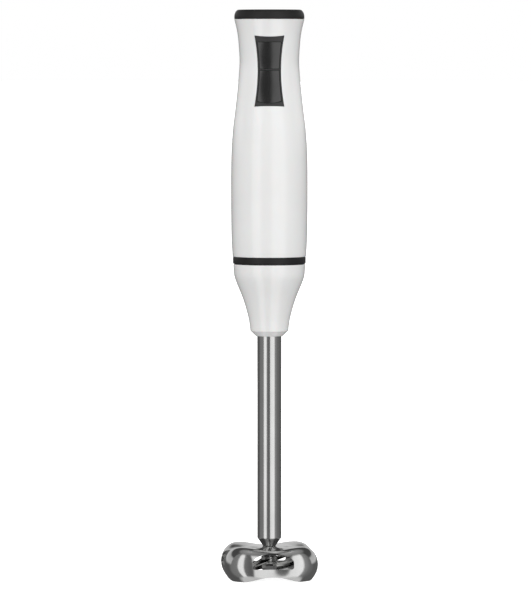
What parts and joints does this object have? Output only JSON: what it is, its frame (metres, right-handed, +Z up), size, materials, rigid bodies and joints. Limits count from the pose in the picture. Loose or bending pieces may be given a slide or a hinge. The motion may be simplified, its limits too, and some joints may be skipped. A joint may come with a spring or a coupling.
{
  "type": "immersion blender",
  "caption": "Hand-held immersion blender: white waisted motor handle with two buttons, twist-off leg with steel tube, four-lobed guard and blade.",
  "frame": {"origin": "bottom centre of the bounding box, on the axis of the handle, in the plane of the guard's feet", "axes": "+Z up along the handle, away from the blade; -Y the side with the buttons; +X to the right when the buttons are seen from the front"},
  "size_m": [0.0662, 0.0662, 0.3866],
  "materials": {
    "white_plastic": "gloss",
    "charcoal_plastic": "satin",
    "satin_black": "satin",
    "black_rubber": "matte",
    "stainless": "polished",
    "steel": "satin",
    "zinc": "satin",
    "ferrite": "matte",
    "carbon": "matte",
    "brass": "satin",
    "bronze": "satin",
    "copper": "satin",
    "dark_moulding": "matte",
    "nylon": "satin",
    "board_laminate": "satin",
    "blue_film": "satin"
  },
  "bodies": {
    "motor_unit": {"front_housing": "white_plastic", "rear_housing": "white_plastic", "housing_screw_1": "zinc", "housing_screw_2": "zinc", "housing_screw_3": "zinc", "housing_screw_4": "zinc", "top_cap": "charcoal_plastic", "cord_gland": "black_rubber", "button_bezel": "charcoal_plastic", "speed_switch": "dark_moulding", "turbo_switch": "dark_moulding", "circuit_board": "board_laminate", "suppression_capacitor": "blue_film", "rectifier_bridge": "dark_moulding", "interference_choke": "copper", "lock_collar": "charcoal_plastic", "lower_motor_damper": "black_rubber", "upper_motor_damper": "black_rubber", "motor_can": "steel", "motor_screw_1": "zinc", "motor_screw_2": "zinc", "magnet_1": "ferrite", "magnet_2": "ferrite", "lower_motor_bearing": "bronze", "upper_motor_bearing": "bronze", "brush_left": "carbon", "brush_right": "carbon", "brush_holder_left": "brass", "brush_holder_right": "brass", "brush_plate": "dark_moulding"},
    "speed_button": {"speed_button": "satin_black", "speed_switch_plunger": "nylon"},
    "turbo_button": {"turbo_button": "satin_black", "turbo_switch_plunger": "nylon"},
    "rotor": {"motor_shaft": "steel", "armature_core": "steel", "armature_windings": "copper", "commutator": "copper", "cooling_fan": "dark_moulding", "motor_coupling": "nylon"},
    "leg": {"leg_sleeve": "white_plastic", "sleeve_lid": "white_plastic", "shaft_tube": "stainless", "upper_shaft_bush": "bronze", "middle_shaft_guide": "nylon", "lower_shaft_bush": "bronze", "seal_retainer": "charcoal_plastic", "shaft_seal": "black_rubber", "blade_guard": "stainless"},
    "blade_drive": {"shaft_coupling": "nylon", "drive_shaft": "steel", "shaft_circlip": "zinc", "blade": "stainless", "blade_nut": "stainless"}
  },
  "joints": [
    {"name": "speed_press", "type": "slide", "parent": "motor_unit", "child": "speed_button", "axis": [0, 1, 0], "range_m": [0, 0.0018], "stiffness_N_per_m": 900, "springref_m": -0.0012},
    {"name": "turbo_press", "type": "slide", "parent": "motor_unit", "child": "turbo_button", "axis": [0, 1, 0], "range_m": [0, 0.0018], "stiffness_N_per_m": 900, "springref_m": -0.0012},
    {"name": "rotor_spin", "type": "hinge", "parent": "motor_unit", "child": "rotor", "pos_m": [0, 0, 0.255], "axis": [0, 0, 1], "continuous": true},
    {"name": "blade_spin", "type": "hinge", "parent": "motor_unit", "child": "blade_drive", "pos_m": [0, 0, 0.1], "axis": [0, 0, 1], "continuous": true},
    {"name": "leg_twist", "type": "hinge", "parent": "motor_unit", "child": "leg", "pos_m": [0, 0, 0.2142], "axis": [0, 0, 1], "range_deg": [0, 38]}
  ],
  "couplings": [
    {"joint": "blade_spin", "follows": "rotor_spin", "ratio": 1}
  ]
}
